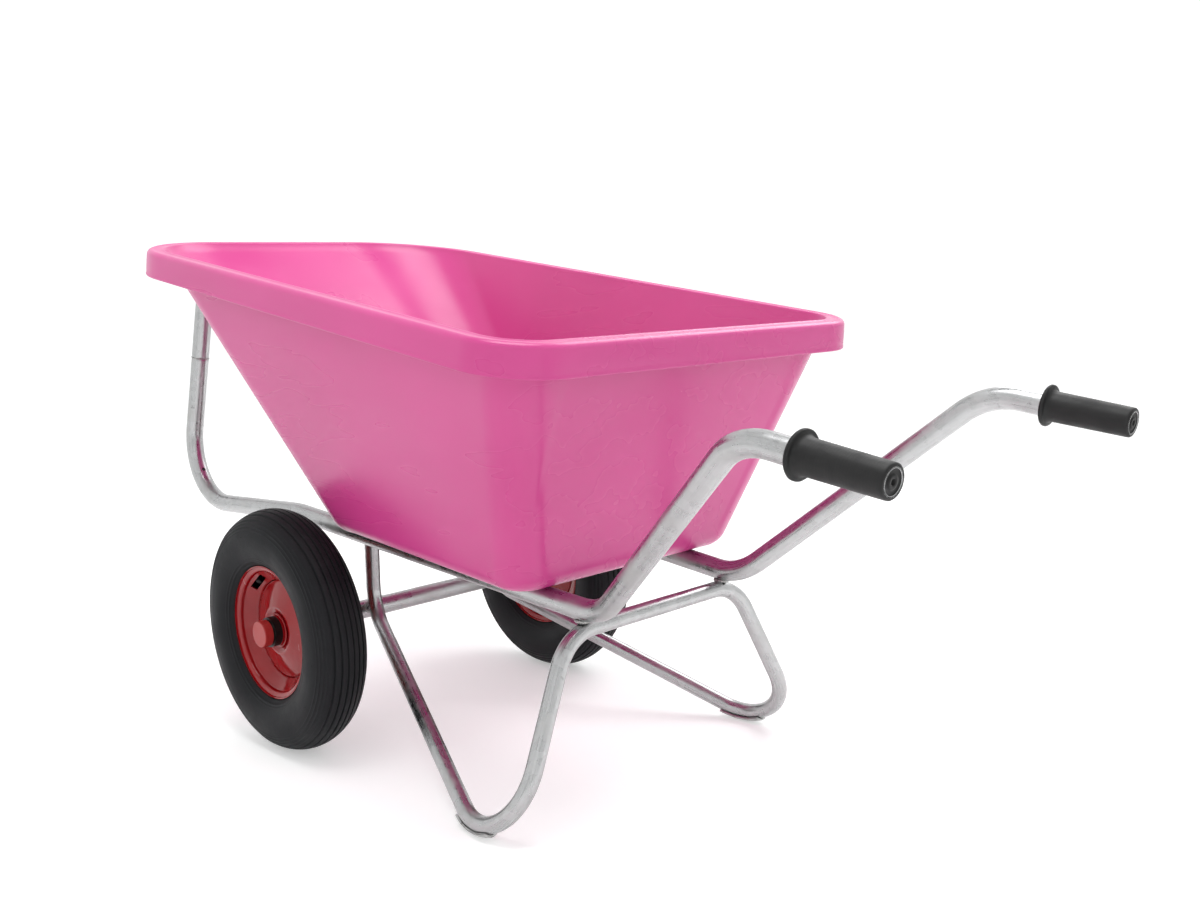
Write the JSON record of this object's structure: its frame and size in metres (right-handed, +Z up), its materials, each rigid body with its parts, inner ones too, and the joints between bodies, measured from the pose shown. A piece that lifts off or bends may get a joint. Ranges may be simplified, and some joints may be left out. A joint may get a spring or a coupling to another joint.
{
  "type": "wheelbarrow",
  "caption": "Twin-wheel tub wheelbarrow: deep tapered plastic tray with turned-down rim on a bent galvanised tube frame, pneumatic wheels on a cross axle and a looped tube leg.",
  "frame": {"origin": "on the ground, under the middle of the barrow's overall length and width, standing on its wheels and both feet", "axes": "+X to the barrow's right as its user stands, +Y forward from the handles to the wheels' end, +Z up"},
  "size_m": [0.7362, 1.6507, 0.8484],
  "materials": {
    "tray_plastic": "soft satin moulded polyethylene",
    "galvanised_tube": "galvanised, satin with fine spangle",
    "skid_steel": "galvanised pressing, scuffed",
    "zinc_fastener": "bright zinc plate",
    "axle_steel": "turned bar, greased",
    "grip_rubber": "matte",
    "tyre_rubber": "matte ribbed",
    "tube_rubber": "matte",
    "rim_red": "gloss dark red enamel",
    "cap_red": "gloss",
    "bush_nylon": "matte moulded nylon",
    "valve_rubber": "matte",
    "valve_cap_plastic": "matte"
  },
  "bodies": {
    "frame": {"axle_tube": "galvanised_tube", "crossing_rods": "galvanised_tube", "front_hoop": "galvanised_tube", "left_axle_cap": "cap_red", "left_foot_skid": "skid_steel", "left_grip": "grip_rubber", "left_rail": "galvanised_tube", "left_stub_axle": "axle_steel", "leg_tube": "galvanised_tube", "right_axle_cap": "cap_red", "right_foot_skid": "skid_steel", "right_grip": "grip_rubber", "right_rail": "galvanised_tube", "right_stub_axle": "axle_steel", "split_pins": "zinc_fastener", "tray": "tray_plastic", "tray_screws": "zinc_fastener", "tray_washers": "zinc_fastener", "wheel_washers": "zinc_fastener"},
    "left_wheel": {"left_tyre": "tyre_rubber", "left_inner_tube": "tube_rubber", "left_rim_barrel": "rim_red", "left_outer_disc": "rim_red", "left_inner_disc": "rim_red", "left_hub_tube": "rim_red", "left_outer_bush": "bush_nylon", "left_inner_bush": "bush_nylon", "left_valve_stem": "valve_rubber", "left_valve_cap": "valve_cap_plastic"},
    "right_wheel": {"right_tyre": "tyre_rubber", "right_inner_tube": "tube_rubber", "right_rim_barrel": "rim_red", "right_outer_disc": "rim_red", "right_inner_disc": "rim_red", "right_hub_tube": "rim_red", "right_outer_bush": "bush_nylon", "right_inner_bush": "bush_nylon", "right_valve_stem": "valve_rubber", "right_valve_cap": "valve_cap_plastic"}
  },
  "joints": [
    {"name": "left_wheel_spin", "type": "hinge", "parent": "frame", "child": "left_wheel", "pos_m": [-0.293, 0.3211, 0.2], "axis": [1, 0, 0], "continuous": true},
    {"name": "right_wheel_spin", "type": "hinge", "parent": "frame", "child": "right_wheel", "pos_m": [0.293, 0.3211, 0.2], "axis": [1, 0, 0], "continuous": true}
  ]
}
